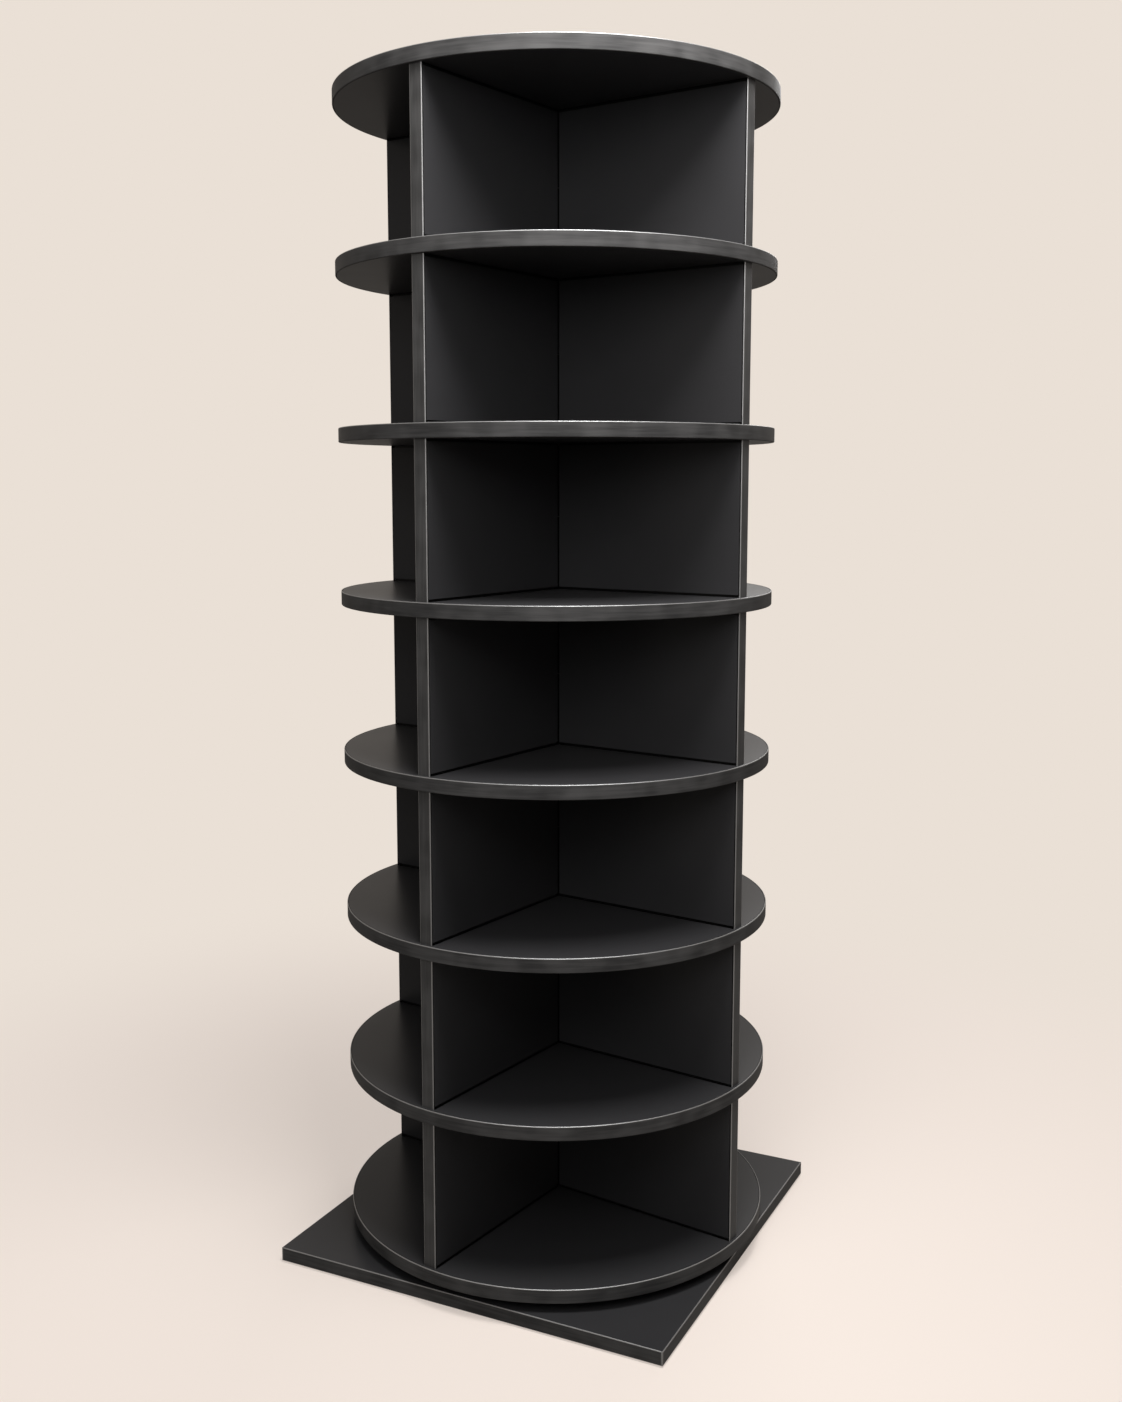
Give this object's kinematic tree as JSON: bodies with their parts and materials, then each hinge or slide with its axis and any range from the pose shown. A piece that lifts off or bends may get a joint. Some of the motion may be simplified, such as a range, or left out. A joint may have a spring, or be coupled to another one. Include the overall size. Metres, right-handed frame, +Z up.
{
  "type": "rotating shoe tower",
  "caption": "Tall round shoe tower of stacked round shelves with crossed dividers between them, turning on a ball turntable over a square base board.",
  "frame": {"origin": "on the floor under the foot pads, on the axis that the tower turns on", "axes": "+Z up along the turning axis; at rest the crossed dividers lie along X and Y, and the base board is turned 8.5 degrees from them"},
  "size_m": [0.5456, 0.5456, 1.333],
  "materials": {
    "black_melamine": "matt black melamine facing on board",
    "black_edge_band": "satin charcoal edge strip",
    "foot_rubber": "matt anti-slip pad",
    "ring_aluminium": "satin turned",
    "screw_steel": "zinc plated",
    "ball_steel": "polished",
    "cage_plastic": "natural nylon",
    "beech_dowel": "plain fluted beech"
  },
  "bodies": {
    "base": {"base_board": "black_melamine", "base_edge_bands": "black_edge_band", "foot_pads": "foot_rubber", "turntable_outer_ring": "ring_aluminium", "outer_ring_screws": "screw_steel"},
    "cage": {"ball_cage": "cage_plastic", "bearing_balls": "ball_steel"},
    "tower": {"divider_1_slot_down": "black_melamine", "divider_1_slot_up": "black_melamine", "divider_2_slot_down": "black_melamine", "divider_2_slot_up": "black_melamine", "divider_3_slot_down": "black_melamine", "divider_3_slot_up": "black_melamine", "divider_4_slot_down": "black_melamine", "divider_4_slot_up": "black_melamine", "divider_5_slot_down": "black_melamine", "divider_5_slot_up": "black_melamine", "divider_6_slot_down": "black_melamine", "divider_6_slot_up": "black_melamine", "divider_7_slot_down": "black_melamine", "divider_7_slot_up": "black_melamine", "divider_edge_bands": "black_edge_band", "inner_ring_screws": "screw_steel", "shelf_1": "black_melamine", "shelf_2": "black_melamine", "shelf_3": "black_melamine", "shelf_4": "black_melamine", "shelf_5": "black_melamine", "shelf_6": "black_melamine", "shelf_7": "black_melamine", "shelf_8": "black_melamine", "shelf_dowels": "beech_dowel", "turntable_inner_ring": "ring_aluminium"}
  },
  "joints": [
    {"name": "tower_spin", "type": "hinge", "parent": "base", "child": "tower", "pos_m": [0, 0, 0.0235], "axis": [0, 0, 1], "continuous": true},
    {"name": "cage_spin", "type": "hinge", "parent": "base", "child": "cage", "pos_m": [0, 0, 0.0235], "axis": [0, 0, 1], "continuous": true}
  ],
  "couplings": [
    {"joint": "cage_spin", "follows": "tower_spin", "ratio": 0.5}
  ]
}
